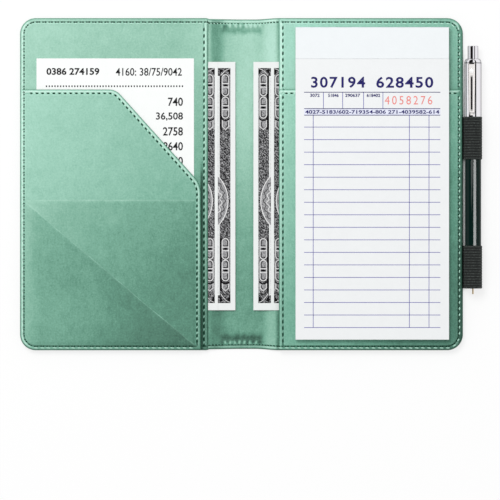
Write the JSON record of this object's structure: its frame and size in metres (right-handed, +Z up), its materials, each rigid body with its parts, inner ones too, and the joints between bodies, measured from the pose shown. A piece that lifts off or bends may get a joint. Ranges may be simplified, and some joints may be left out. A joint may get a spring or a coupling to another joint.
{
  "type": "server book",
  "caption": "Open folding server book with a check pad, receipt and banknote pockets, and a click pen in elastic loops.",
  "frame": {"origin": "middle of the bounding box's base, on the table under the open book", "axes": "+X from the front cover to the pen side, +Y to the top of the pages, +Z up from the table"},
  "size_m": [0.2714, 0.195, 0.0129],
  "materials": {
    "outer_leather": "mottled mint green imitation leather, matt with a soft sheen",
    "inner_leather": "mint green imitation leather, the pockets and lining",
    "greyboard": "grey bookbinding board",
    "receipt_paper": "white till paper with grey print",
    "note_paper": "white paper with dark grey line work",
    "pad_paper": "white paper ruled in navy",
    "pad_card": "buff card",
    "pad_glue": "white padding glue",
    "elastic": "black ribbed elastic",
    "chrome": "polished",
    "dark_barrel": "gloss very dark teal",
    "refill_steel": "drawn tube",
    "refill_brass": "turned",
    "cam_plastic": "black",
    "spring_steel": "drawn wire"
  },
  "bodies": {
    "back_cover": {"back_cover_skin": "outer_leather", "back_cover_board": "greyboard", "back_cover_lining": "inner_leather", "back_flap": "inner_leather", "pad_pocket": "inner_leather", "pen_loop_upper": "elastic", "pen_loop_lower": "elastic"},
    "spine": {"spine_skin": "outer_leather", "spine_lining": "inner_leather"},
    "front_cover": {"front_cover_skin": "outer_leather", "front_cover_board": "greyboard", "front_cover_lining": "inner_leather", "front_flap": "inner_leather", "receipt_pocket": "inner_leather", "card_pocket": "inner_leather", "corner_pocket": "inner_leather"},
    "receipt": {"receipt": "receipt_paper"},
    "front_note_under": {"front_note_under": "note_paper"},
    "front_note_upper": {"front_note_upper": "note_paper"},
    "back_note_under": {"back_note_under": "note_paper"},
    "back_note_upper": {"back_note_upper": "note_paper"},
    "check_pad": {"pad_backing_card": "pad_card", "pad_stub": "pad_paper", "pad_glue_strip": "pad_glue", "pad_sheets": "pad_paper"},
    "top_check": {"top_check": "pad_paper"},
    "pen": {"pen_upper_barrel": "chrome", "pen_lower_barrel": "dark_barrel", "pen_collar": "chrome", "pen_nose_cone": "chrome", "pen_spring": "spring_steel"},
    "pen_button": {"pen_button": "chrome"},
    "pen_refill": {"pen_refill": "refill_steel", "pen_refill_tip": "refill_brass", "pen_cam": "cam_plastic"},
    "pen_clip": {"pen_clip": "chrome"}
  },
  "joints": [
    {"name": "spine_fold", "type": "hinge", "parent": "back_cover", "child": "spine", "pos_m": [-0.001, 0, 0.0036], "axis": [0, 1, 0], "range_deg": [0, 90]},
    {"name": "front_cover_fold", "type": "hinge", "parent": "spine", "child": "front_cover", "pos_m": [-0.0104, 0, 0.0036], "axis": [0, 1, 0], "range_deg": [0, 90]},
    {"name": "check_pad_slide", "type": "slide", "parent": "back_cover", "child": "check_pad", "axis": [0, 1, 0], "range_m": [0, 0.15]},
    {"name": "top_check_lift", "type": "hinge", "parent": "check_pad", "child": "top_check", "pos_m": [0.071, 0.0735, 0.00852], "axis": [1, 0, 0], "range_deg": [-165, 0]},
    {"name": "receipt_slide", "type": "slide", "parent": "front_cover", "child": "receipt", "axis": [0, 1, 0], "range_m": [0, 0.135]},
    {"name": "front_note_under_slide", "type": "slide", "parent": "front_cover", "child": "front_note_under", "axis": [-1, 0, 0], "range_m": [-0.004, 0.045]},
    {"name": "front_note_upper_slide", "type": "slide", "parent": "front_cover", "child": "front_note_upper", "axis": [-1, 0, 0], "range_m": [-0.004, 0.045]},
    {"name": "back_note_under_slide", "type": "slide", "parent": "back_cover", "child": "back_note_under", "axis": [1, 0, 0], "range_m": [-0.004, 0.045]},
    {"name": "back_note_upper_slide", "type": "slide", "parent": "back_cover", "child": "back_note_upper", "axis": [1, 0, 0], "range_m": [-0.004, 0.045]},
    {"name": "pen_slide", "type": "slide", "parent": "back_cover", "child": "pen", "axis": [0, 1, 0], "range_m": [0, 0.11]},
    {"name": "pen_button_slide", "type": "slide", "parent": "pen", "child": "pen_button", "axis": [0, 1, 0], "range_m": [-0.001, 0.005]},
    {"name": "pen_refill_slide", "type": "slide", "parent": "pen", "child": "pen_refill", "axis": [0, 1, 0], "range_m": [-0.001, 0.005], "deforming": ["pen_spring"]},
    {"name": "pen_clip_flex", "type": "hinge", "parent": "pen", "child": "pen_clip", "pos_m": [0.12933, 0.0709, 0.01095], "axis": [-0.9903, 0, -0.1392], "range_deg": [0, 8], "stiffness_Nm_per_rad": 0.2}
  ],
  "couplings": [
    {"joint": "pen_refill_slide", "follows": "pen_button_slide", "ratio": 1}
  ]
}
